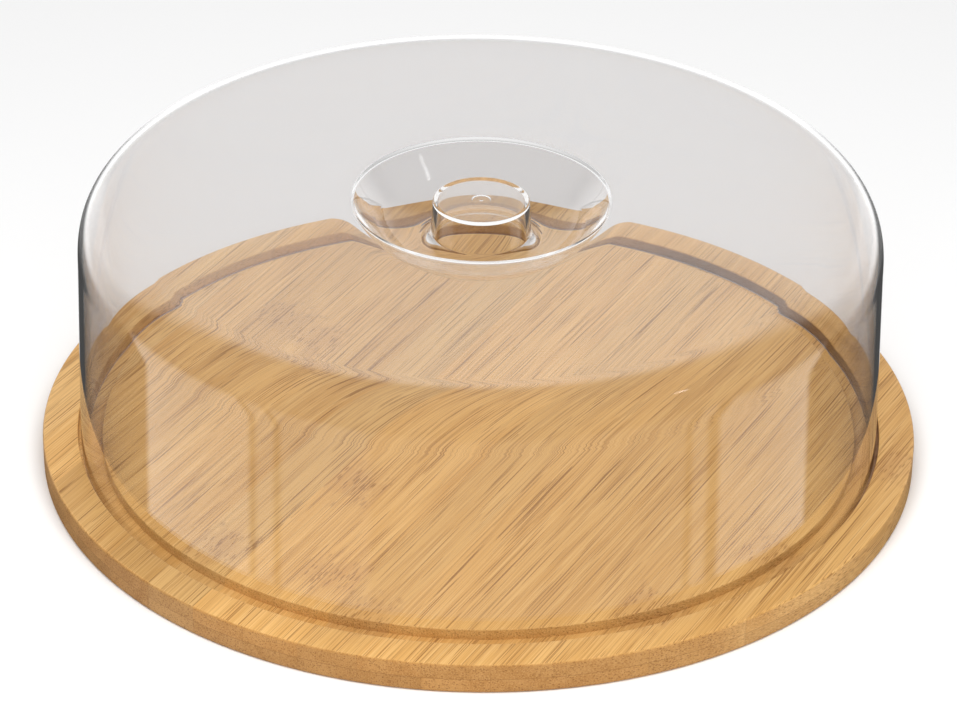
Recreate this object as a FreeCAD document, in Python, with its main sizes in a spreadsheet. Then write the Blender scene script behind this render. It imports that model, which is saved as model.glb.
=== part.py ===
# Cake stand dome: a round board glued up from bamboo strips in two plies, and a clear
# moulded dome whose rim stands in a round groove in the board.
# Millimetres, +Z up, origin at the centre of the board's underside.
import FreeCAD, Part
import os
import Sketcher
from FreeCAD import Vector

stripsPerPly = 16
sameSize = 1e-6

doc = FreeCAD.newDocument("CakeStandDome")

sizes = {
    # board
    "boardRadius": 160.0,
    "plyThickness": 5.75,
    "topEdgeBevel": 0.8,
    "bottomEdgeRound": 1.5,
    "stripWidth": 21.0,
    "glueLineOffset": 4.5,     # from the board's centre to the nearest glue line
    "grainAngle": 62.0,        # from +X, seen from above
    "grooveOuterRadius": 147.2,
    "grooveInnerRadius": 138.4,
    "grooveDepth": 4.0,
    "grooveEdgeBevel": 0.4,
    # dome
    "rimRadius": 146.3,
    "domeHeight": 95.0,        # from the rim to the flat top
    "wallTopRadius": 143.2,    # where the drafted wall would meet the flat top
    "shoulderRound": 14.5,
    "wallThickness": 1.8,
    "rimRound": 0.8,
    # finger recess in the top, with the knob standing in it
    "recessRadius": 45.9,
    "recessDepth": 17.5,
    "recessFloorRadius": 32.0,
    "recessBowlRound": 18.0,
    "recessLipRound": 2.5,
    "knobTopRadius": 17.3,
    "knobBaseRadius": 18.4,
    "knobDrop": 1.0,           # from the flat top down to the top of the knob
    "knobFootRound": 4.0,
    "knobEdgeRound": 1.4,
    "gateMarkRadius": 3.2,
    "gateMarkDepth": 0.4,
    "gateNubRadius": 0.6,
    "gateNubHeight": 0.25,
}


def makeSheet():
    """One row for each driving dimension: its name, and its value under that alias."""
    sheet = doc.addObject("Spreadsheet::Sheet", "Sizes")
    for row, (alias, value) in enumerate(sizes.items(), start=1):
        sheet.set(f"A{row}", alias)
        sheet.set(f"B{row}", str(value))
        sheet.setAlias(f"B{row}", alias)
    doc.recompute()
    return sheet


sheet = makeSheet()

# Heights above the board's underside and radii that several features share.
boardTop = "(2 * Sizes.plyThickness)"
grooveFloor = f"({boardTop} - Sizes.grooveDepth)"
domeTop = f"({grooveFloor} + Sizes.domeHeight)"
knobTop = f"({domeTop} - Sizes.knobDrop)"
recessFloor = f"({domeTop} - Sizes.recessDepth)"
gateFloor = f"({knobTop} - Sizes.gateMarkDepth)"
onAxis = "0"


def worth(expression):
    """The number that an expression on the sheet gives now."""
    return float(sheet.evalExpression(expression))


def addBody(label):
    body = doc.addObject("PartDesign::Body", label)
    body.Label = label
    return body


def addProfile(body, name, corners):
    """A closed outline on the XZ plane from (radius, height) corners, each bound to the sheet."""
    sketch = body.newObject("Sketcher::SketchObject", name)
    plane = [item for item in body.Origin.OriginFeatures if item.Role == "XZ_Plane"][0]
    sketch.AttachmentSupport = (plane, [""])
    sketch.MapMode = "FlatFace"
    points = [Vector(worth(radius), worth(height), 0) for radius, height in corners]
    count = len(points)
    for index in range(count):
        sketch.addGeometry(Part.LineSegment(points[index], points[(index + 1) % count]))
    for index in range(count):
        sketch.addConstraint(Sketcher.Constraint("Coincident", index, 2, (index + 1) % count, 1))
    for index, (radius, height) in enumerate(corners):
        if radius == onAxis:
            sketch.addConstraint(Sketcher.Constraint("PointOnObject", index, 1, -2))
        else:
            across = sketch.addConstraint(
                Sketcher.Constraint("DistanceX", -1, 1, index, 1, points[index].x))
            sketch.setExpression(f"Constraints[{across}]", radius)
        if height == onAxis:
            sketch.addConstraint(Sketcher.Constraint("PointOnObject", index, 1, -1))
        else:
            up = sketch.addConstraint(
                Sketcher.Constraint("DistanceY", -1, 1, index, 1, points[index].y))
            sketch.setExpression(f"Constraints[{up}]", height)
    return sketch


def turnProfile(body, kind, name, corners):
    """A Revolution adds, or a Groove cuts, the outline turned once round the Z axis."""
    sketch = addProfile(body, name + "Sketch", corners)
    feature = body.newObject(kind, name)
    feature.Profile = sketch
    feature.ReferenceAxis = (sketch, ["V_Axis"])
    feature.Angle = 360
    doc.recompute()
    return feature


def ringEdges(feature, radius, height):
    """Names of the feature's round edges about the Z axis at a radius and height."""
    found = []
    for number, edge in enumerate(feature.Shape.Edges, start=1):
        curve = edge.Curve
        if not isinstance(curve, Part.Circle):
            continue
        sameRadius = abs(curve.Radius - worth(radius)) < sameSize
        sameHeight = abs(curve.Center.z - worth(height)) < sameSize
        if sameRadius and sameHeight:
            found.append(f"Edge{number}")
    if not found:
        raise RuntimeError(f"{feature.Label} has no round edge at {radius}, {height}")
    return found


def dressRings(body, kind, sizeName, base, name, size, rings):
    """Dresses the round edges at each (radius, height) with one size from the sheet."""
    names = []
    for radius, height in rings:
        names += ringEdges(base, radius, height)
    dressing = body.newObject(kind, name)
    dressing.Base = (base, names)
    dressing.setExpression(sizeName, size)
    doc.recompute()
    return dressing


def roundRings(body, base, name, size, rings):
    return dressRings(body, "PartDesign::Fillet", "Radius", base, name, size, rings)


def bevelRings(body, base, name, size, rings):
    return dressRings(body, "PartDesign::Chamfer", "Size", base, name, size, rings)


def makeBottomPly():
    """The lower half of the board before it is divided: a plain disc with a rounded foot."""
    body = addBody("bottomPly")
    disc = turnProfile(body, "PartDesign::Revolution", "bottomDisc", [
        (onAxis, onAxis),
        ("Sizes.boardRadius", onAxis),
        ("Sizes.boardRadius", "Sizes.plyThickness"),
        (onAxis, "Sizes.plyThickness"),
    ])
    roundRings(body, disc, "bottomRound", "Sizes.bottomEdgeRound", [("Sizes.boardRadius", onAxis)])
    return body


def makeTopPly():
    """The upper half of the board, with the groove that the dome's rim stands in."""
    body = addBody("topPly")
    turnProfile(body, "PartDesign::Revolution", "topDisc", [
        (onAxis, "Sizes.plyThickness"),
        ("Sizes.boardRadius", "Sizes.plyThickness"),
        ("Sizes.boardRadius", boardTop),
        (onAxis, boardTop),
    ])
    groove = turnProfile(body, "PartDesign::Groove", "rimGroove", [
        ("Sizes.grooveInnerRadius", grooveFloor),
        ("Sizes.grooveOuterRadius", grooveFloor),
        ("Sizes.grooveOuterRadius", boardTop),
        ("Sizes.grooveInnerRadius", boardTop),
    ])
    edge = bevelRings(body, groove, "topBevel", "Sizes.topEdgeBevel",
                      [("Sizes.boardRadius", boardTop)])
    bevelRings(body, edge, "grooveBevel", "Sizes.grooveEdgeBevel", [
        ("Sizes.grooveInnerRadius", boardTop),
        ("Sizes.grooveOuterRadius", boardTop),
    ])
    return body


def makeStrips(ply, plyName, plyBottom):
    """Divides a ply along its grain into the bamboo strips that it is glued up from."""
    strips = []
    for number in range(1, stripsPerPly + 1):
        place = number - 1 - stripsPerPly // 2
        alongStart = "(-1 * Sizes.boardRadius)"
        acrossStart = f"(Sizes.glueLineOffset + {place} * Sizes.stripWidth)"
        block = doc.addObject("Part::Box", f"{plyName}_block_{number:02d}")
        block.setExpression("Length", "2 * Sizes.boardRadius")
        block.setExpression("Width", "Sizes.stripWidth")
        block.setExpression("Height", "Sizes.plyThickness")
        block.Placement.Rotation = FreeCAD.Rotation(Vector(0, 0, 1), worth("Sizes.grainAngle"))
        block.setExpression("Placement.Rotation.Angle", "Sizes.grainAngle")
        block.setExpression("Placement.Base.x",
                            f"{alongStart} * cos(Sizes.grainAngle * 1 deg)"
                            f" - {acrossStart} * sin(Sizes.grainAngle * 1 deg)")
        block.setExpression("Placement.Base.y",
                            f"{alongStart} * sin(Sizes.grainAngle * 1 deg)"
                            f" + {acrossStart} * cos(Sizes.grainAngle * 1 deg)")
        block.setExpression("Placement.Base.z", plyBottom)
        strip = doc.addObject("Part::Common", f"{plyName}_strip_{number:02d}")
        strip.Label = f"{plyName}_strip_{number:02d}"
        strip.Base = ply
        strip.Tool = block
        strips.append(strip)
    doc.recompute()
    return strips


def makeDome():
    """The dome: a drafted wall, a round shoulder, and a flat top with the knob in its recess."""
    body = addBody("dome")
    solid = turnProfile(body, "PartDesign::Revolution", "domeOutside", [
        (onAxis, grooveFloor),
        ("Sizes.rimRadius", grooveFloor),
        ("Sizes.wallTopRadius", domeTop),
        ("Sizes.recessRadius", domeTop),
        ("Sizes.recessFloorRadius", recessFloor),
        ("Sizes.knobBaseRadius", recessFloor),
        ("Sizes.knobTopRadius", knobTop),
        (onAxis, knobTop),
    ])
    shoulder = roundRings(body, solid, "shoulder", "Sizes.shoulderRound",
                          [("Sizes.wallTopRadius", domeTop)])
    foot = roundRings(body, shoulder, "knobFoot", "Sizes.knobFootRound",
                      [("Sizes.knobBaseRadius", recessFloor)])
    bowl = roundRings(body, foot, "recessBowl", "Sizes.recessBowlRound",
                      [("Sizes.recessFloorRadius", recessFloor)])

    # The inside follows the outside one wall thickness in, open at the rim.
    underside = [f"Face{number}" for number, face in enumerate(bowl.Shape.Faces, start=1)
                 if abs(face.BoundBox.ZMax - worth(grooveFloor)) < sameSize]
    shell = body.newObject("PartDesign::Thickness", "hollow")
    shell.Base = (bowl, underside)
    shell.setExpression("Value", "Sizes.wallThickness")
    shell.Reversed = True
    shell.Join = 1
    doc.recompute()

    lip = roundRings(body, shell, "recessLip", "Sizes.recessLipRound",
                     [("Sizes.recessRadius", domeTop)])
    knobEdge = roundRings(body, lip, "knobEdge", "Sizes.knobEdgeRound",
                          [("Sizes.knobTopRadius", knobTop)])
    roundRings(body, knobEdge, "rimEdge", "Sizes.rimRound", [("Sizes.rimRadius", grooveFloor)])

    # The moulding's gate: a shallow round dimple in the knob with a short nub in its middle.
    turnProfile(body, "PartDesign::Groove", "gateMark", [
        (onAxis, gateFloor),
        ("Sizes.gateMarkRadius", gateFloor),
        ("Sizes.gateMarkRadius", knobTop),
        (onAxis, knobTop),
    ])
    turnProfile(body, "PartDesign::Revolution", "gateNub", [
        (onAxis, f"({gateFloor} - Sizes.wallThickness / 2)"),
        ("Sizes.gateNubRadius", f"({gateFloor} - Sizes.wallThickness / 2)"),
        ("Sizes.gateNubRadius", f"({gateFloor} + Sizes.gateNubHeight)"),
        (onAxis, f"({gateFloor} + Sizes.gateNubHeight)"),
    ])
    return body


def checkDocument(subParts):
    """Stops if any object failed, or a sub-part isn't one valid solid."""
    for item in doc.Objects:
        failed = {"Invalid", "Error"} & set(item.State)
        if failed:
            raise RuntimeError(f"{item.Label} did not rebuild: {item.State}")
    for subPart in subParts:
        shape = subPart.Shape
        if shape.isNull() or not shape.isValid() or len(shape.Solids) != 1:
            raise RuntimeError(f"{subPart.Label} is not one valid solid")


bottomPly = makeBottomPly()
topPly = makeTopPly()
subParts = makeStrips(bottomPly, "bottom", "0")
subParts += makeStrips(topPly, "top", "Sizes.plyThickness")
subParts.append(makeDome())
doc.recompute()
checkDocument(subParts)

os.makedirs("parts", exist_ok=True)
for subPart in subParts:
    subPart.Shape.exportStep(f"parts/{subPart.Label}.step")
    print(f"{subPart.Label}: {subPart.Shape.Volume / 1000:.2f} cm3")
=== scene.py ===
import math
import bmesh
import bpy
from mathutils import Matrix, Vector


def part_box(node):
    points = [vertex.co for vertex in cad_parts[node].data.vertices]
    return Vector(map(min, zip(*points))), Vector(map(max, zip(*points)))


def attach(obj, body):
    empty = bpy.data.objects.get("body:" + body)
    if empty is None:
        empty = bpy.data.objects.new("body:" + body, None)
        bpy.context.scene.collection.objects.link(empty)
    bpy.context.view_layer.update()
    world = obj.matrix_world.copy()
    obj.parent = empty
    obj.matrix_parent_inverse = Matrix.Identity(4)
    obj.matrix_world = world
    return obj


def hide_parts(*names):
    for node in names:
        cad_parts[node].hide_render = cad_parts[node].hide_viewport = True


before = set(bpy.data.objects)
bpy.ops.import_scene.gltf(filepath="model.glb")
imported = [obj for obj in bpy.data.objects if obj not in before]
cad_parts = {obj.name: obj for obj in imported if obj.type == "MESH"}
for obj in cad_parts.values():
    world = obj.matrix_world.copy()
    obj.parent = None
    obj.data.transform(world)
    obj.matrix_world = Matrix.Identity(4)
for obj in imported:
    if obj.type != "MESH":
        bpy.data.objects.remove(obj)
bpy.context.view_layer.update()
print("frame loaded:", len(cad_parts), "nodes")

mm = 0.001
shadeAngle = math.radians(30)


def deselectAll():
    for item in list(bpy.context.selected_objects):
        item.select_set(False)


def activate(piece):
    deselectAll()
    piece.select_set(True)
    bpy.context.view_layer.objects.active = piece


def pick(piece, kind, test):
    # in edit mode: selects only the faces or edges that pass the test
    shape = bmesh.from_edit_mesh(piece.data)
    for group in (shape.faces, shape.edges, shape.verts):
        for item in group:
            item.select = False
    for item in getattr(shape, kind):
        if test(item):
            item.select = True
    shape.select_flush_mode()
    bmesh.update_edit_mesh(piece.data)


def ringTest(radius, height, slack=0.05 * mm):
    # edges that lie on one ring about the Z axis
    def test(edge):
        return all(abs(math.hypot(v.co.x, v.co.y) - radius) < slack and abs(v.co.z - height) < slack
                   for v in edge.verts)
    return test


def rename(piece, name):
    piece.name = name
    piece.data.name = name


def smooth(piece):
    activate(piece)
    bpy.ops.object.shade_smooth_by_angle(angle=shadeAngle)


def addNode(tree, kind, **settings):
    node = tree.nodes.new(kind)
    for key, value in settings.items():
        setattr(node, key, value)
    return node


def feed(tree, socket, value):
    # a number or colour is set on the socket, another node's output is linked to it
    if isinstance(value, bpy.types.NodeSocket):
        tree.links.new(value, socket)
    else:
        socket.default_value = value


def calc(tree, operation, *values, clamp=False):
    node = addNode(tree, "ShaderNodeMath", operation=operation, use_clamp=clamp)
    for index, value in enumerate(values):
        feed(tree, node.inputs[index], value)
    return node.outputs[0]


def ramp(tree, value, low, high, fromLow=0.0, fromHigh=1.0):
    node = addNode(tree, "ShaderNodeMapRange", interpolation_type="SMOOTHSTEP")
    feed(tree, node.inputs["Value"], value)
    feed(tree, node.inputs["From Min"], fromLow)
    feed(tree, node.inputs["From Max"], fromHigh)
    feed(tree, node.inputs["To Min"], low)
    feed(tree, node.inputs["To Max"], high)
    return node.outputs[0]


def blendColour(tree, factor, first, second, mode="MIX"):
    node = addNode(tree, "ShaderNodeMix", data_type="RGBA", blend_type=mode)
    feed(tree, node.inputs["Factor"], factor)
    feed(tree, node.inputs[6], first)
    feed(tree, node.inputs[7], second)
    return node.outputs[2]


def startGroup(name, inputs, outputs):
    group = bpy.data.node_groups.new(name, "ShaderNodeTree")
    for label, kind in inputs:
        group.interface.new_socket(label, in_out="INPUT", socket_type=kind)
    for label, kind in outputs:
        group.interface.new_socket(label, in_out="OUTPUT", socket_type=kind)
    entry = group.nodes.new("NodeGroupInput")
    leave = group.nodes.new("NodeGroupOutput")
    return group, entry.outputs, leave.inputs


def placeGroup(tree, group, **values):
    node = addNode(tree, "ShaderNodeGroup", node_tree=group)
    for key, value in values.items():
        feed(tree, node.inputs[key.replace("_", " ")], value)
    return node


def startMaterial(name):
    material = bpy.data.materials.new(name)
    material.use_nodes = True
    tree = material.node_tree
    tree.nodes.clear()
    return material, tree


view = {
    "distance": 1.4292,
    "elevation": math.radians(32.01),
    "aim": Vector((-0.0003, 0, 0.0335)),
    "lens": 145.1,
    "roll": math.radians(0.69),
}


def makeCamera():
    data = bpy.data.cameras.new("camera")
    data.lens = view["lens"]
    data.sensor_width = 36
    camera = bpy.data.objects.new("camera", data)
    bpy.context.scene.collection.objects.link(camera)
    level = math.cos(view["elevation"]) * view["distance"]
    height = math.sin(view["elevation"]) * view["distance"]
    place = Vector((0, -level, height))
    look = (view["aim"] - place).to_track_quat("-Z", "Y").to_matrix().to_4x4()
    camera.matrix_world = Matrix.Translation(place) @ look @ Matrix.Rotation(view["roll"], 4, "Z")
    bpy.context.scene.camera = camera
    print("camera placed")


board = {
    "radius": 160 * mm,
    "segments": 288,
    "plyThickness": 5.75 * mm,
    "edgeRound": 0.8 * mm,
    "footRound": 1.5 * mm,
    "grooveOuter": 147.2 * mm,
    "grooveInner": 138.4 * mm,
    "grooveDepth": 4 * mm,
    "grooveRound": 0.4 * mm,
    "stripsPerPly": 16,
    "stripWidth": 21 * mm,
    "glueOffset": 4.5 * mm,
    "grainAngle": math.radians(62),
}


def makePly(name, low, high, grooved):
    deselectAll()
    bpy.ops.mesh.primitive_cylinder_add(
        vertices=board["segments"], radius=board["radius"], depth=high - low,
        location=(0, 0, (low + high) / 2), end_fill_type="NGON")
    ply = bpy.context.object
    rename(ply, name)
    bpy.ops.object.transform_apply(location=True, rotation=True, scale=True)
    bpy.ops.object.mode_set(mode="EDIT")
    bpy.ops.mesh.select_mode(type="FACE")
    if grooved:
        pick(ply, "faces", lambda face: face.normal.z > 0.9)
        bpy.ops.mesh.inset(thickness=board["radius"] - board["grooveOuter"])
        bpy.ops.mesh.inset(thickness=board["grooveOuter"] - board["grooveInner"])
        middle = (board["grooveOuter"] + board["grooveInner"]) / 2
        pick(ply, "faces", lambda face: face.normal.z > 0.9
             and abs(face.calc_center_median().xy.length - middle) < 1 * mm)
        bpy.ops.mesh.extrude_region_move(
            TRANSFORM_OT_translate={"value": (0, 0, -board["grooveDepth"])})
    bpy.ops.mesh.select_mode(type="EDGE")
    if grooved:
        pick(ply, "edges", ringTest(board["radius"], high))
        bpy.ops.mesh.bevel(offset=board["edgeRound"], segments=5, affect="EDGES")
        for radius in (board["grooveOuter"], board["grooveInner"]):
            pick(ply, "edges", ringTest(radius, high, 0.1 * mm))
            bpy.ops.mesh.bevel(offset=board["grooveRound"], segments=3, affect="EDGES")
    else:
        pick(ply, "edges", ringTest(board["radius"], low))
        bpy.ops.mesh.bevel(offset=board["footRound"], segments=6, affect="EDGES")
    bpy.ops.object.mode_set(mode="OBJECT")
    return ply


def sawStrip(ply, name, start, end):
    # the part of the ply between two glue lines
    across = Vector((-math.sin(board["grainAngle"]), math.cos(board["grainAngle"]), 0))
    strip = ply.copy()
    strip.data = ply.data.copy()
    bpy.context.scene.collection.objects.link(strip)
    rename(strip, name)
    activate(strip)
    bpy.ops.object.mode_set(mode="EDIT")
    if start > -board["radius"]:
        bpy.ops.mesh.select_all(action="SELECT")
        bpy.ops.mesh.bisect(plane_co=across * start, plane_no=across, clear_inner=True, use_fill=True)
    if end < board["radius"]:
        bpy.ops.mesh.select_all(action="SELECT")
        bpy.ops.mesh.bisect(plane_co=across * end, plane_no=across, clear_outer=True, use_fill=True)
    bpy.ops.object.mode_set(mode="OBJECT")
    smooth(strip)
    return strip


def makeBoard(bamboo):
    thickness = board["plyThickness"]
    for level, low in (("bottom", 0), ("top", thickness)):
        ply = makePly(level + "Ply", low, low + thickness, level == "top")
        for number in range(1, board["stripsPerPly"] + 1):
            place = number - 1 - board["stripsPerPly"] // 2
            start = board["glueOffset"] + place * board["stripWidth"]
            strip = sawStrip(ply, f"{level}Bamboo{number:02d}", start, start + board["stripWidth"])
            strip.data.materials.clear()
            strip.data.materials.append(bamboo[level])
            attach(strip, "board")
            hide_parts(f"{level}_strip_{number:02d}")
        bpy.data.objects.remove(ply)
    print("board: two plies of", board["stripsPerPly"], "strips")


dome = {
    "segments": 256,
    "wall": 1.8 * mm,
    "wallTop": 143.8 * mm,      # radius where the drafted wall would meet the flat top
    "shoulder": (17 * mm, 18 * mm, 2.4),      # reach on either side and power of a squarer bend
    "recess": 45.9 * mm,
    "recessDepth": 17.5 * mm,
    "recessFloor": 32 * mm,
    "bowl": 18 * mm,
    "lip": (9 * mm, 0.8 * mm, 2),
    "lipInside": (8.4 * mm, 0.5 * mm, 2),
    "knobTop": 17.3 * mm,
    "knobBase": 18.4 * mm,
    "knobDrop": 1 * mm,
    "knobFoot": 4 * mm,
    "knobEdge": 0.6 * mm,
    "rimRound": 0.8 * mm,
    "gate": 3.2 * mm,
    "gateDepth": 0.25 * mm,
    "nub": 0.6 * mm,
    "nubHeight": 0.15 * mm,
}


def roundedOutline(corners, hold=0.25 * mm):
    # corners are (radius, height, rounding); a rounding becomes an arc with a holding point beside it,
    # and a rounding with its own reach on either side and a power becomes a squarer bend
    points = []
    for index, (x, z, rounding) in enumerate(corners):
        here = Vector((x, z))
        if rounding == 0 or index in (0, len(corners) - 1):
            points.append(here)
            continue
        before = (Vector(corners[index - 1][:2]) - here).normalized()
        after = (Vector(corners[index + 1][:2]) - here).normalized()
        if isinstance(rounding, tuple):
            beforeReach, afterReach, power = rounding
            points.append(here + before * (beforeReach + hold))
            for step in range(37):
                turn = math.radians(2.5 * step)
                backward = 1 - max(math.sin(turn), 0) ** (2 / power)
                forward = 1 - max(math.cos(turn), 0) ** (2 / power)
                points.append(here + before * beforeReach * backward + after * afterReach * forward)
            points.append(here + after * (afterReach + hold))
            continue
        half = before.angle(after) / 2
        reach = rounding / math.tan(half)
        centre = here + (before + after).normalized() * (rounding / math.sin(half))
        first = here + before * reach - centre
        turn = first.angle_signed(here + after * reach - centre)
        steps = max(4, round(abs(turn) / math.radians(3)))
        points.append(here + before * (reach + min(hold, rounding)))
        for step in range(steps + 1):
            spoke = first.copy()
            spoke.rotate(Matrix.Rotation(-turn * step / steps, 2))
            points.append(centre + spoke)
        points.append(here + after * (reach + min(hold, rounding)))
    return points


def insetCorners(corners, distance):
    # moves each run of an outline sideways and meets the moved runs again
    runs = []
    for first, second in zip(corners, corners[1:]):
        start, end = Vector(first[:2]), Vector(second[:2])
        along = (end - start).normalized()
        side = Vector((along.y, -along.x)) * distance
        runs.append((start + side, along))
    moved = [runs[0][0]]
    for (start, along), (start2, along2) in zip(runs, runs[1:]):
        gap = start2 - start
        reach = (gap.x * along2.y - gap.y * along2.x) / (along.x * along2.y - along.y * along2.x)
        moved.append(start + along * reach)
    last = Vector(corners[-1][:2])
    moved.append(last + Vector((runs[-1][1].y, -runs[-1][1].x)) * distance)
    return moved


def domeOutline():
    low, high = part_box("dome")
    rim = high.x
    rimHeight = low.z
    top = high.z
    floor = top - dome["recessDepth"]
    knob = top - dome["knobDrop"]
    outside = [
        (0, knob, 0),
        (dome["knobTop"], knob, dome["knobEdge"]),
        (dome["knobBase"], floor, dome["knobFoot"]),
        (dome["recessFloor"], floor, dome["bowl"]),
        (dome["recess"], top, dome["lip"]),
        (dome["wallTop"], top, dome["shoulder"]),
        (rim, rimHeight, dome["rimRound"]),
        (rim - dome["wall"], rimHeight, 0),
    ]
    inside = insetCorners(outside[:-1], dome["wall"])
    wall = dome["wall"]
    level, upright, power = dome["shoulder"]
    roundings = [0, 0, dome["knobFoot"] + wall, dome["bowl"] + wall, dome["lipInside"],
                 (upright - wall, level - wall, power), 0]
    inner = [(max(p.x, 0), p.y, r) for p, r in zip(inside, roundings)]
    inner[-1] = (rim - wall, rimHeight, 0)
    gateFloor = knob - dome["gateDepth"]
    nubTop = gateFloor + dome["nubHeight"]
    gateMark = [
        (0, nubTop, 0),
        (dome["nub"], nubTop, 0.12 * mm),
        (dome["nub"] + 0.1 * mm, gateFloor, 0.1 * mm),
        (dome["gate"], gateFloor, 0.2 * mm),
        (dome["gate"] + 0.2 * mm, knob, 0.15 * mm),
    ]
    return roundedOutline(gateMark + outside[1:]), roundedOutline(inner[::-1])


def turnOutline(name, points, segments):
    # draws the outline from one vertex by extruding, then spins it round the Z axis
    deselectAll()
    bpy.ops.mesh.primitive_plane_add(size=1 * mm, location=(points[0].x, 0, points[0].y))
    piece = bpy.context.object
    rename(piece, name)
    bpy.ops.object.transform_apply(location=True, rotation=True, scale=True)
    bpy.ops.object.mode_set(mode="EDIT")
    bpy.ops.mesh.select_mode(type="VERT")
    bpy.ops.mesh.select_all(action="SELECT")
    bpy.ops.mesh.merge(type="CENTER")
    for here, there in zip(points, points[1:]):
        step = there - here
        bpy.ops.mesh.extrude_region_move(TRANSFORM_OT_translate={"value": (step.x, 0, step.y)})
    bpy.ops.mesh.select_all(action="SELECT")
    bpy.ops.mesh.spin(steps=segments, angle=math.tau, center=(0, 0, 0), axis=(0, 0, 1))
    bpy.ops.mesh.select_all(action="SELECT")
    bpy.ops.mesh.remove_doubles(threshold=0.002 * mm)
    bpy.ops.mesh.select_all(action="SELECT")
    bpy.ops.mesh.normals_make_consistent(inside=False)
    bpy.ops.object.mode_set(mode="OBJECT")
    return piece


def makeDome(plastic):
    outer, inner = domeOutline()
    points = [outer[0]]
    for point in outer[1:] + inner:
        if (point - points[-1]).length > 0.01 * mm:
            points.append(point)
    piece = turnOutline("clearDome", points, dome["segments"])
    piece.data.materials.append(plastic)
    smooth(piece)
    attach(piece, "dome")
    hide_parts("dome")
    print("dome:", len(points), "outline points,", len(piece.data.polygons), "faces")


grain = {
    "light": (0.71, 0.405, 0.134, 1),
    "warm": (0.62, 0.33, 0.095, 1),
    "fibre": (0.27, 0.113, 0.027, 1),
    "pale": (0.80, 0.515, 0.215, 1),
    "knuckle": (0.42, 0.20, 0.075, 1),
    "endGrainAndShade": (0.69, 0.61, 0.525, 1),
    "gap": (0.10, 0.035, 0.022, 1),        # the shade in the narrow gap outside the dome's rim
    # where a culm's joint crosses a strip: strip number from the one beside the centre, place along
    "topKnuckles": ((1, -119), (0, -63), (-1, -116), (-2, -133), (-6, -82), (-7, -31),
                    (-8, 44), (4, 25), (3, 18)),
    # painted shade: strips drawn darker where they cross the rim at the sides: strip number and change of
    # tone
    "stripShadesOnRim": ((1, -0.1), (2, -0.24), (3, -0.22), (4, -0.19), (-7, -0.06), (-8, -0.11)),
    "bottomKnuckles": ((2, 90), (0, -120), (-2, 40), (-4, 118), (5, -60), (-6, -20)),
}


def makeFibreGroup():
    # dark fibre bundles that run along X: streaks on a face and dots on the end grain
    group, given, result = startGroup(
        "fibreBundles",
        [("Vector", "NodeSocketVector"), ("Length", "NodeSocketFloat"), ("Spacing", "NodeSocketFloat"),
         ("Thickness", "NodeSocketFloat"), ("Share", "NodeSocketFloat")],
        [("Mask", "NodeSocketFloat")])
    split = addNode(group, "ShaderNodeSeparateXYZ")
    feed(group, split.inputs[0], given["Vector"])
    place = addNode(group, "ShaderNodeCombineXYZ")
    feed(group, place.inputs[0], calc(group, "DIVIDE", split.outputs[0], given["Length"]))
    feed(group, place.inputs[1], calc(group, "DIVIDE", split.outputs[1], given["Spacing"]))
    feed(group, place.inputs[2], calc(group, "DIVIDE", split.outputs[2], given["Spacing"]))
    cells = addNode(group, "ShaderNodeTexVoronoi", feature="F1", voronoi_dimensions="3D")
    feed(group, cells.inputs["Vector"], place.outputs[0])
    feed(group, cells.inputs["Scale"], 1.0)
    chance = addNode(group, "ShaderNodeSeparateColor")
    feed(group, chance.inputs[0], cells.outputs["Color"])
    shown = calc(group, "LESS_THAN", chance.outputs[0], given["Share"])
    reach = calc(group, "MULTIPLY", given["Thickness"],
                 calc(group, "MULTIPLY_ADD", chance.outputs[1], 0.7, 0.5))
    core = calc(group, "MULTIPLY", reach, 0.7)
    streak = ramp(group, cells.outputs["Distance"], 1.0, 0.0, core, reach)
    feed(group, result["Mask"], calc(group, "MULTIPLY", streak, shown))
    return group


def makeKnuckleGroup():
    # one culm joint: a soft window along the strip, in one strip only
    group, given, result = startGroup(
        "culmKnuckle",
        [("Along", "NodeSocketFloat"), ("Strip", "NodeSocketFloat"), ("Place", "NodeSocketFloat"),
         ("Which", "NodeSocketFloat"), ("Reach", "NodeSocketFloat")],
        [("Mask", "NodeSocketFloat")])
    away = calc(group, "ABSOLUTE", calc(group, "SUBTRACT", given["Along"], given["Place"]))
    window = ramp(group, away, 1.0, 0.0, 0.0, given["Reach"])
    same = calc(group, "COMPARE", given["Strip"], given["Which"], 0.5)
    feed(group, result["Mask"], calc(group, "MULTIPLY", window, same))
    return group


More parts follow.
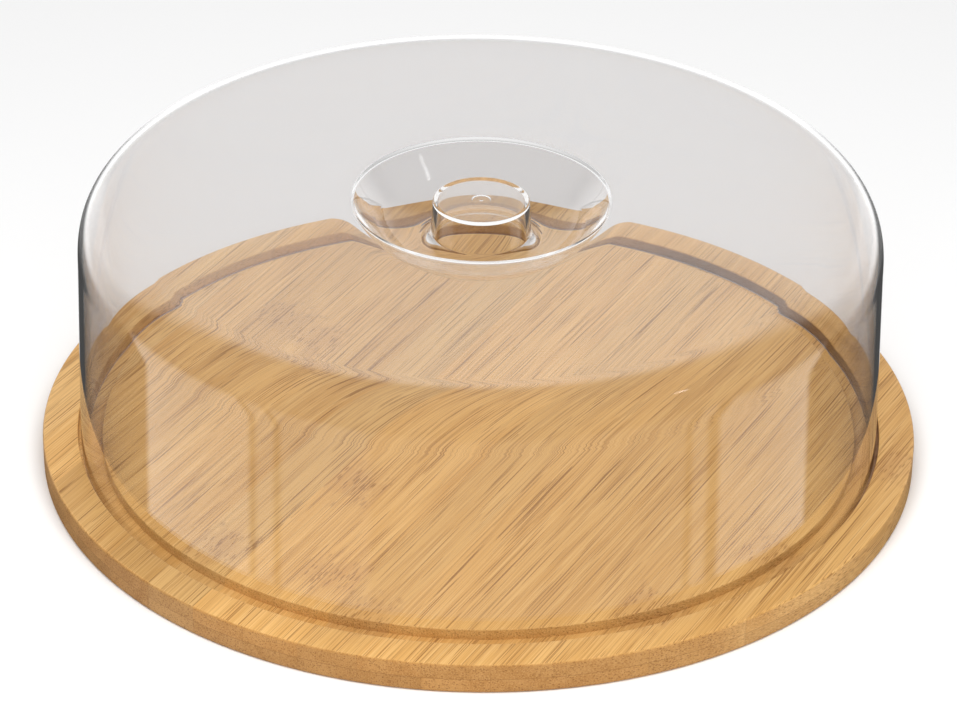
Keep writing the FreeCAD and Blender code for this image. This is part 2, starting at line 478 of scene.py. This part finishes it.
def makeStripGroup():
    # which strip a point is in, a random tone for it, and a point shifted so that no two strips match
    group, given, result = startGroup(
        "stripLayout",
        [("Vector", "NodeSocketVector"), ("Width", "NodeSocketFloat"), ("Offset", "NodeSocketFloat"),
         ("Seed", "NodeSocketFloat")],
        [("Strip", "NodeSocketFloat"), ("Tone", "NodeSocketFloat"), ("Vector", "NodeSocketVector"),
         ("Glue", "NodeSocketFloat"), ("Hue", "NodeSocketFloat")])
    split = addNode(group, "ShaderNodeSeparateXYZ")
    feed(group, split.inputs[0], given["Vector"])
    turns = calc(group, "DIVIDE", calc(group, "SUBTRACT", split.outputs[1], given["Offset"]), given["Width"])
    strip = calc(group, "FLOOR", turns)
    noise = addNode(group, "ShaderNodeTexWhiteNoise", noise_dimensions="1D")
    feed(group, noise.inputs["W"], calc(group, "ADD", strip, given["Seed"]))
    tones = addNode(group, "ShaderNodeSeparateColor")
    feed(group, tones.inputs[0], noise.outputs["Color"])
    shift = addNode(group, "ShaderNodeVectorMath", operation="MULTIPLY_ADD")
    feed(group, shift.inputs[0], noise.outputs["Color"])
    shift.inputs[1].default_value = (3.0, 0.4, 0.4)
    feed(group, shift.inputs[2], given["Vector"])
    inStrip = calc(group, "FRACT", turns)
    edge = calc(group, "MINIMUM", inStrip, calc(group, "SUBTRACT", 1.0, inStrip))
    feed(group, result["Strip"], strip)
    feed(group, result["Tone"], tones.outputs[0])
    feed(group, result["Hue"], tones.outputs[1])
    feed(group, result["Vector"], shift.outputs[0])
    feed(group, result["Glue"], ramp(group, edge, 1.0, 0.0, 0.0, 0.012))
    return group


def makeBamboo(name, groups, knuckles, seed, shade):
    material, tree = startMaterial(name)
    place = addNode(tree, "ShaderNodeTexCoord")
    turned = addNode(tree, "ShaderNodeMapping")
    turned.inputs["Rotation"].default_value = (0, 0, -board["grainAngle"])
    feed(tree, turned.inputs["Vector"], place.outputs["Object"])
    split = addNode(tree, "ShaderNodeSeparateXYZ")
    feed(tree, split.inputs[0], turned.outputs[0])
    layout = placeGroup(tree, groups["strips"], Vector=turned.outputs[0], Width=board["stripWidth"],
                        Offset=board["glueOffset"], Seed=seed)
    spot = layout.outputs["Vector"]

    # culm joints
    wobble = addNode(tree, "ShaderNodeTexNoise", noise_dimensions="3D")
    feed(tree, wobble.inputs["Vector"], spot)
    feed(tree, wobble.inputs["Scale"], 160.0)
    feed(tree, wobble.inputs["Detail"], 3.0)
    along = calc(tree, "MULTIPLY_ADD", wobble.outputs["Fac"], 30 * mm, split.outputs[0])
    along = calc(tree, "SUBTRACT", along, 15 * mm)
    knuckle = 0.0
    for which, where in knuckles:
        mark = placeGroup(tree, groups["knuckle"], Along=along, Strip=layout.outputs["Strip"],
                          Place=where * mm, Which=float(which), Reach=17 * mm)
        knuckle = calc(tree, "MAXIMUM", knuckle, mark.outputs[0])

    # ground tone
    def stretched(scale, detail):
        stretch = addNode(tree, "ShaderNodeVectorMath", operation="MULTIPLY")
        feed(tree, stretch.inputs[0], spot)
        stretch.inputs[1].default_value = scale
        noise = addNode(tree, "ShaderNodeTexNoise")
        feed(tree, noise.inputs["Vector"], stretch.outputs[0])
        feed(tree, noise.inputs["Scale"], 1.0)
        feed(tree, noise.inputs["Detail"], detail)
        return noise.outputs["Fac"]

    cloud = stretched((6, 130, 130), 3.0)
    bunch = stretched((7, 240, 240), 2.0)
    hair = stretched((24, 2200, 2200), 1.0)
    line = stretched((20, 1900, 1900), 1.0)
    ground = blendColour(tree, ramp(tree, cloud, 0.0, 1.0, 0.3, 0.7), grain["light"], grain["warm"])
    ground = blendColour(tree, ramp(tree, layout.outputs["Hue"], 0.0, 0.6, 0.55, 1.0),
                         ground, grain["pale"])
    ground = blendColour(tree, ramp(tree, hair, 0.0, 0.24, 0.48, 0.7), ground, grain["fibre"])
    ground = blendColour(tree, ramp(tree, hair, 0.45, 0.0, 0.3, 0.48), ground, grain["pale"])

    # how far the surface cuts across the grain
    grainLine = (math.cos(board["grainAngle"]), math.sin(board["grainAngle"]), 0)
    facing = addNode(tree, "ShaderNodeVectorMath", operation="DOT_PRODUCT")
    feed(tree, facing.inputs[0], place.outputs["Normal"])
    facing.inputs[1].default_value = grainLine
    endGrain = calc(tree, "ABSOLUTE", facing.outputs["Value"])
    level = addNode(tree, "ShaderNodeVectorMath", operation="MULTIPLY")
    feed(tree, level.inputs[0], place.outputs["Object"])
    level.inputs[1].default_value = (1, 1, 0)
    fromAxis = addNode(tree, "ShaderNodeVectorMath", operation="LENGTH")
    feed(tree, fromAxis.inputs[0], level.outputs[0])
    radius = fromAxis.outputs["Value"]
    # painted light: inside the groove the darker end-grain tint is mostly left off, so the groove walls are
    # drawn lighter
    paintedGrooveLight = ramp(tree, radius, 0.15, 1.0, 148 * mm, 152 * mm)

    # fibre bundles: fine, bold, the short dashes of a joint, and the dots of the end grain
    fineShare = ramp(tree, bunch, 0.25, 0.75, 0.42, 0.62)
    boldShare = ramp(tree, bunch, 0.12, 0.35, 0.45, 0.65)
    thin = placeGroup(tree, groups["fibres"], Vector=spot, Length=48 * mm, Spacing=0.62 * mm,
                      Thickness=0.3, Share=fineShare)
    thick = placeGroup(tree, groups["fibres"], Vector=spot, Length=85 * mm, Spacing=1.5 * mm,
                       Thickness=0.13, Share=boldShare)
    short = placeGroup(tree, groups["fibres"], Vector=spot, Length=6 * mm, Spacing=0.85 * mm,
                       Thickness=0.42, Share=0.85)
    dots = placeGroup(tree, groups["fibres"], Vector=spot, Length=2.0, Spacing=0.78 * mm,
                      Thickness=0.4, Share=0.9)
    streaks = calc(tree, "MAXIMUM", calc(tree, "MULTIPLY", thin.outputs["Mask"], 0.72),
                   calc(tree, "MULTIPLY", thick.outputs["Mask"], 0.8))
    crisp = calc(tree, "MULTIPLY", ramp(tree, line, 0.0, 0.8, 0.6, 0.635),
                 ramp(tree, bunch, 0.45, 1.0, 0.4, 0.58))
    crisp = calc(tree, "MULTIPLY", crisp, ramp(tree, endGrain, 1.0, 0.0, 0.1, 0.5))
    streaks = calc(tree, "MAXIMUM", streaks, crisp)
    dashes = calc(tree, "MULTIPLY", short.outputs["Mask"], knuckle)
    speckle = calc(tree, "MULTIPLY", dots.outputs["Mask"], ramp(tree, endGrain, 0.0, 0.5, 0.25, 0.6))
    marks = calc(tree, "MAXIMUM", streaks, calc(tree, "MULTIPLY", dashes, 0.75))
    marks = calc(tree, "MAXIMUM", marks, speckle)
    colour = blendColour(tree, calc(tree, "MULTIPLY", knuckle, 0.26), ground, grain["knuckle"])
    colour = blendColour(tree, marks, colour, grain["fibre"])
    colour = blendColour(tree, calc(tree, "MULTIPLY", layout.outputs["Glue"], 0.18), colour, grain["fibre"])
    fromPly = calc(tree, "ABSOLUTE", calc(tree, "SUBTRACT", split.outputs[2], board["plyThickness"]))
    colour = blendColour(tree, ramp(tree, fromPly, 0.4, 0.0, 0.08 * mm, 0.2 * mm), colour, grain["fibre"])

    # tone of the strip, with painted shade on the strips that cross the rim at the sides, and darker end
    # grain that is partly painted shade
    toneAndShade = calc(tree, "MULTIPLY_ADD", layout.outputs["Tone"], 0.12, shade - 0.06)
    # painted shade: this mask puts the darker strips mostly on the rim, and at a quarter strength further in
    onRim = calc(tree, "MULTIPLY", ramp(tree, radius, 0.25, 1.0, 140 * mm, 148 * mm),
                 ramp(tree, radius, 1.0, 0.3, 158.8 * mm, 159.8 * mm))
    for which, change in grain["stripShadesOnRim"]:
        same = calc(tree, "COMPARE", layout.outputs["Strip"], float(which), 0.5)
        toneAndShade = calc(tree, "MULTIPLY_ADD", calc(tree, "MULTIPLY", same, onRim), change, toneAndShade)
    grey = addNode(tree, "ShaderNodeCombineColor")
    for index in range(3):
        feed(tree, grey.inputs[index], toneAndShade)
    colour = blendColour(tree, 1.0, colour, grey.outputs[0], "MULTIPLY")
    # darker end grain: partly the wood's own colour, partly painted shade that darkens the board's edge
    # faces
    colour = blendColour(tree, calc(tree, "MULTIPLY", paintedGrooveLight, ramp(tree, endGrain, 0.0, 1.0, 0.1, 0.85)),
                         colour, blendColour(tree, 1.0, colour, grain["endGrainAndShade"], "MULTIPLY"))
    spread = addNode(tree, "ShaderNodeSeparateXYZ")
    feed(tree, spread.inputs[0], place.outputs["Object"])
    # painted shade in the narrow gap outside the dome's rim, on the right only
    gap = calc(tree, "MULTIPLY", ramp(tree, radius, 0.0, 0.8, 145.4 * mm, 146.2 * mm),
               ramp(tree, radius, 1.0, 0.0, 147.25 * mm, 147.5 * mm))
    gap = calc(tree, "MULTIPLY", gap, ramp(tree, spread.outputs[2], 1.0, 0.0, 10.6 * mm, 11.3 * mm))
    gap = calc(tree, "MULTIPLY", gap, ramp(tree, spread.outputs[0], 0.15, 1.0, 20 * mm, 90 * mm))
    colour = blendColour(tree, gap, colour, grain["gap"])

    shader = addNode(tree, "ShaderNodeBsdfPrincipled")
    feed(tree, shader.inputs["Base Color"], colour)
    feed(tree, shader.inputs["Roughness"], ramp(tree, marks, 0.45, 0.62))
    shader.inputs["Specular IOR Level"].default_value = 0.35
    bump = addNode(tree, "ShaderNodeBump")
    bump.inputs["Strength"].default_value = 0.25
    bump.inputs["Distance"].default_value = 0.12 * mm
    relief = calc(tree, "SUBTRACT", calc(tree, "MULTIPLY", hair, 0.5), marks)
    feed(tree, bump.inputs["Height"], relief)
    feed(tree, shader.inputs["Normal"], bump.outputs[0])
    output = addNode(tree, "ShaderNodeOutputMaterial")
    feed(tree, output.inputs["Surface"], shader.outputs[0])
    return material


clear = {
    "tint": (0.965, 0.965, 0.967, 1),
    "shadow": (0.955, 0.95, 0.945, 1),
    "ior": 1.52,
    "domeRimShade": (0.62, 0.52, 0.50, 1),      # painted shade: the cut edge drawn darker than the wall
    "rimTop": 8.6 * mm,
    "lowWallShade": (0.66, 0.57, 0.52, 1),     # painted shade on the low part of the wall where it turns away
    "mirrors": 2.5,      # after this many inner reflections a ray goes straight on, so no seam turns black
}


def makePlastic():
    material, tree = startMaterial("clearPlastic")
    place = addNode(tree, "ShaderNodeTexCoord")
    ripple = addNode(tree, "ShaderNodeTexNoise")
    feed(tree, ripple.inputs["Vector"], place.outputs["Object"])
    feed(tree, ripple.inputs["Scale"], 22.0)
    feed(tree, ripple.inputs["Detail"], 1.0)
    haze = addNode(tree, "ShaderNodeTexNoise")
    feed(tree, haze.inputs["Vector"], place.outputs["Object"])
    feed(tree, haze.inputs["Scale"], 900.0)
    bump = addNode(tree, "ShaderNodeBump")
    bump.inputs["Strength"].default_value = 0.02
    bump.inputs["Distance"].default_value = 1 * mm
    feed(tree, bump.inputs["Height"], ripple.outputs["Fac"])
    shader = addNode(tree, "ShaderNodeBsdfPrincipled")
    split = addNode(tree, "ShaderNodeSeparateXYZ")
    feed(tree, split.inputs[0], place.outputs["Object"])
    # painted shade: the plastic is drawn darker and browner at the cut edge of the rim, down in the groove
    rim = ramp(tree, split.outputs[2], 1.0, 0.0, clear["rimTop"] - 0.3 * mm, clear["rimTop"])
    # painted shade: the low part of the wall is drawn darker where it turns away from view
    turned = addNode(tree, "ShaderNodeLayerWeight")
    turned.inputs["Blend"].default_value = 0.5
    low = calc(tree, "MULTIPLY", ramp(tree, split.outputs[2], 1.0, 0.0, 25 * mm, 62 * mm),
               ramp(tree, turned.outputs["Facing"], 0.0, 1.0, 0.58, 0.76))
    body = blendColour(tree, low, clear["tint"], clear["lowWallShade"])
    feed(tree, shader.inputs["Base Color"], blendColour(tree, rim, body, clear["domeRimShade"]))
    shader.inputs["Transmission Weight"].default_value = 1.0
    shader.inputs["IOR"].default_value = clear["ior"]
    feed(tree, shader.inputs["Roughness"], ramp(tree, haze.outputs["Fac"], 0.0, 0.004, 0.5, 0.8))
    feed(tree, shader.inputs["Normal"], bump.outputs[0])
    through = addNode(tree, "ShaderNodeBsdfTransparent")
    through.inputs["Color"].default_value = clear["shadow"]
    rays = addNode(tree, "ShaderNodeLightPath")
    lamp = calc(tree, "MAXIMUM", rays.outputs["Is Shadow Ray"], rays.outputs["Is Diffuse Ray"])
    late = calc(tree, "GREATER_THAN", rays.outputs["Glossy Depth"], clear["mirrors"])
    mix = addNode(tree, "ShaderNodeMixShader")
    feed(tree, mix.inputs[0], calc(tree, "MAXIMUM", lamp, late))
    feed(tree, mix.inputs[1], shader.outputs[0])
    feed(tree, mix.inputs[2], through.outputs[0])
    output = addNode(tree, "ShaderNodeOutputMaterial")
    feed(tree, output.inputs["Surface"], mix.outputs[0])
    return material


studio = {
    "floorSize": 12.0,
    "floorTone": (0.98, 0.98, 0.98, 1),
    "shadeThroughPlastic": (0.75, 0.748, 0.757, 1),      # painted shade: the floor drawn darker behind the plastic
    "sky": 0.74,
    "dim": 0.38,
    "low": 0.1,
    "back": 1.4,
    # first and last bearing from the front in degrees, right positive, and brightness
    "cards": ((-190, -168, 0.9), (-107.6, -67, 1.2), (-65, -59, 0.9), (-57, 60, 0.5),
              (-57, -30, 0.3), (62, 67, 0.7), (71, 106, 1.1), (168, 190, 0.9)),
    "cardSoftness": 1.5,
    # name, place, aim, size and power of the lamps
    "lamps": (("topLight", (0, -0.1, 1.5), (0, 0, 0), 1.6, 9),
              ("frontLight", (0, -0.42, 0.42), (0, -0.13, 0), 0.3, 1.7)),
    # the round lamp that the dome mirrors: its direction, size and brightness
    "spot": ((0.70, -0.34, 0.627), 3.2, 5.0),
}


def makeFloor():
    deselectAll()
    bpy.ops.mesh.primitive_plane_add(size=studio["floorSize"], location=(0, 0, 0))
    floor = bpy.context.object
    rename(floor, "floor")
    material, tree = startMaterial("paleFloor")
    shader = addNode(tree, "ShaderNodeBsdfPrincipled")
    rays = addNode(tree, "ShaderNodeLightPath")
    # painted shade: the floor is drawn darker where it is seen through the plastic
    veiled = calc(tree, "GREATER_THAN", rays.outputs["Transmission Depth"], 0.5)
    feed(tree, shader.inputs["Base Color"],
         blendColour(tree, veiled, studio["floorTone"], studio["shadeThroughPlastic"]))
    shader.inputs["Roughness"].default_value = 0.9
    shader.inputs["Specular IOR Level"].default_value = 0.1
    # mirrored rays pass the floor and meet the studio drawn in the sky
    through = addNode(tree, "ShaderNodeBsdfTransparent")
    mix = addNode(tree, "ShaderNodeMixShader")
    feed(tree, mix.inputs[0], calc(tree, "GREATER_THAN", rays.outputs["Glossy Depth"], 0.5))
    feed(tree, mix.inputs[1], shader.outputs[0])
    feed(tree, mix.inputs[2], through.outputs[0])
    output = addNode(tree, "ShaderNodeOutputMaterial")
    feed(tree, output.inputs["Surface"], mix.outputs[0])
    floor.data.materials.append(material)


def makeLamp(name, place, aim, size, power):
    data = bpy.data.lights.new(name, "AREA")
    data.shape = "RECTANGLE"
    data.size, data.size_y = size, size
    data.energy = power
    lamp = bpy.data.objects.new(name, data)
    bpy.context.scene.collection.objects.link(lamp)
    look = (Vector(aim) - Vector(place)).to_track_quat("-Z", "Y").to_matrix().to_4x4()
    lamp.matrix_world = Matrix.Translation(Vector(place)) @ look
    lamp.visible_glossy = False      # the mirrored studio is drawn in the sky instead
    lamp.visible_camera = False
    lamp.visible_transmission = False
    return lamp


def makeSky():
    # a plain sky for the floor and the wood; mirrored rays see a bright back, a dim top and front,
    # darker sides, white cards low down all round, and one round lamp
    world = bpy.data.worlds.new("studioSky")
    bpy.context.scene.world = world
    world.use_nodes = True
    tree = world.node_tree
    tree.nodes.clear()
    way = addNode(tree, "ShaderNodeTexCoord")
    split = addNode(tree, "ShaderNodeSeparateXYZ")
    feed(tree, split.inputs[0], way.outputs["Generated"])
    right, back, up = split.outputs[0], split.outputs[1], split.outputs[2]
    behind = ramp(tree, back, 0.0, 1.0, 0.35, 0.6)
    lowDown = ramp(tree, up, 1.0, 0.0, 0.62, 0.85)
    aboveFloor = ramp(tree, up, 0.0, 1.0, -0.3, -0.1)
    high = calc(tree, "MULTIPLY", calc(tree, "MULTIPLY", behind, lowDown), aboveFloor)
    mirrored = calc(tree, "MULTIPLY_ADD", high, studio["back"] - studio["dim"],
                    ramp(tree, aboveFloor, studio["low"], studio["dim"]))
    side = calc(tree, "MULTIPLY", ramp(tree, calc(tree, "ABSOLUTE", right), 0.0, 0.7, 0.6, 0.85),
                ramp(tree, calc(tree, "ABSOLUTE", up), 1.0, 0.0, 0.3, 0.6))
    side = calc(tree, "MULTIPLY", side, ramp(tree, back, 0.0, 1.0, 0.1, 0.35))
    mirrored = calc(tree, "MULTIPLY", mirrored, calc(tree, "SUBTRACT", 1.0, side))
    # a little more light in the back corners, for the sides of the recess
    wing = calc(tree, "MULTIPLY", ramp(tree, calc(tree, "ABSOLUTE", right), 0.0, 0.5, 0.36, 0.46),
                calc(tree, "MULTIPLY", high, ramp(tree, up, 1.0, 0.0, 0.3, 0.5)))
    mirrored = calc(tree, "ADD", mirrored, wing)
    turn = calc(tree, "MULTIPLY", calc(tree, "ARCTAN2", right, calc(tree, "MULTIPLY", back, -1.0)),
                180 / math.pi)
    below = calc(tree, "SUBTRACT", 1.0, aboveFloor)
    for first, last, glow in studio["cards"]:
        soft = studio["cardSoftness"]
        card = calc(tree, "MULTIPLY", ramp(tree, turn, 0.0, glow, first - soft, first + soft),
                    ramp(tree, turn, 1.0, 0.0, last - soft, last + soft))
        mirrored = calc(tree, "ADD", mirrored, calc(tree, "MULTIPLY", card, below))
    toward, spread, shine = studio["spot"]
    facing = addNode(tree, "ShaderNodeVectorMath", operation="DOT_PRODUCT")
    feed(tree, facing.inputs[0], way.outputs["Generated"])
    facing.inputs[1].default_value = toward
    spot = ramp(tree, facing.outputs["Value"], 0.0, shine, math.cos(math.radians(spread)),
                math.cos(math.radians(spread * 0.6)))
    mirrored = calc(tree, "ADD", mirrored, spot)
    rays = addNode(tree, "ShaderNodeLightPath")
    shiny = calc(tree, "GREATER_THAN", rays.outputs["Glossy Depth"], 0.5)
    strength = calc(tree, "ADD", calc(tree, "MULTIPLY", shiny, mirrored),
                    calc(tree, "MULTIPLY", calc(tree, "SUBTRACT", 1.0, shiny), studio["sky"]))
    glow = addNode(tree, "ShaderNodeBackground")
    feed(tree, glow.inputs["Strength"], strength)
    output = addNode(tree, "ShaderNodeOutputWorld")
    feed(tree, output.inputs["Surface"], glow.outputs[0])


def makeStudio():
    makeFloor()
    makeSky()
    for name, place, aim, size, power in studio["lamps"]:
        makeLamp(name, place, aim, size, power)
    bpy.context.scene.view_settings.view_transform = "Standard"
    print("studio lit")


makeCamera()
groups = {"fibres": makeFibreGroup(), "knuckle": makeKnuckleGroup(), "strips": makeStripGroup()}
bamboo = {
    "top": makeBamboo("bambooTop", groups, grain["topKnuckles"], 3.0, 1.0),
    "bottom": makeBamboo("bambooBottom", groups, grain["bottomKnuckles"], 41.0, 0.97),
}
makeBoard(bamboo)
makeDome(makePlastic())
makeStudio()
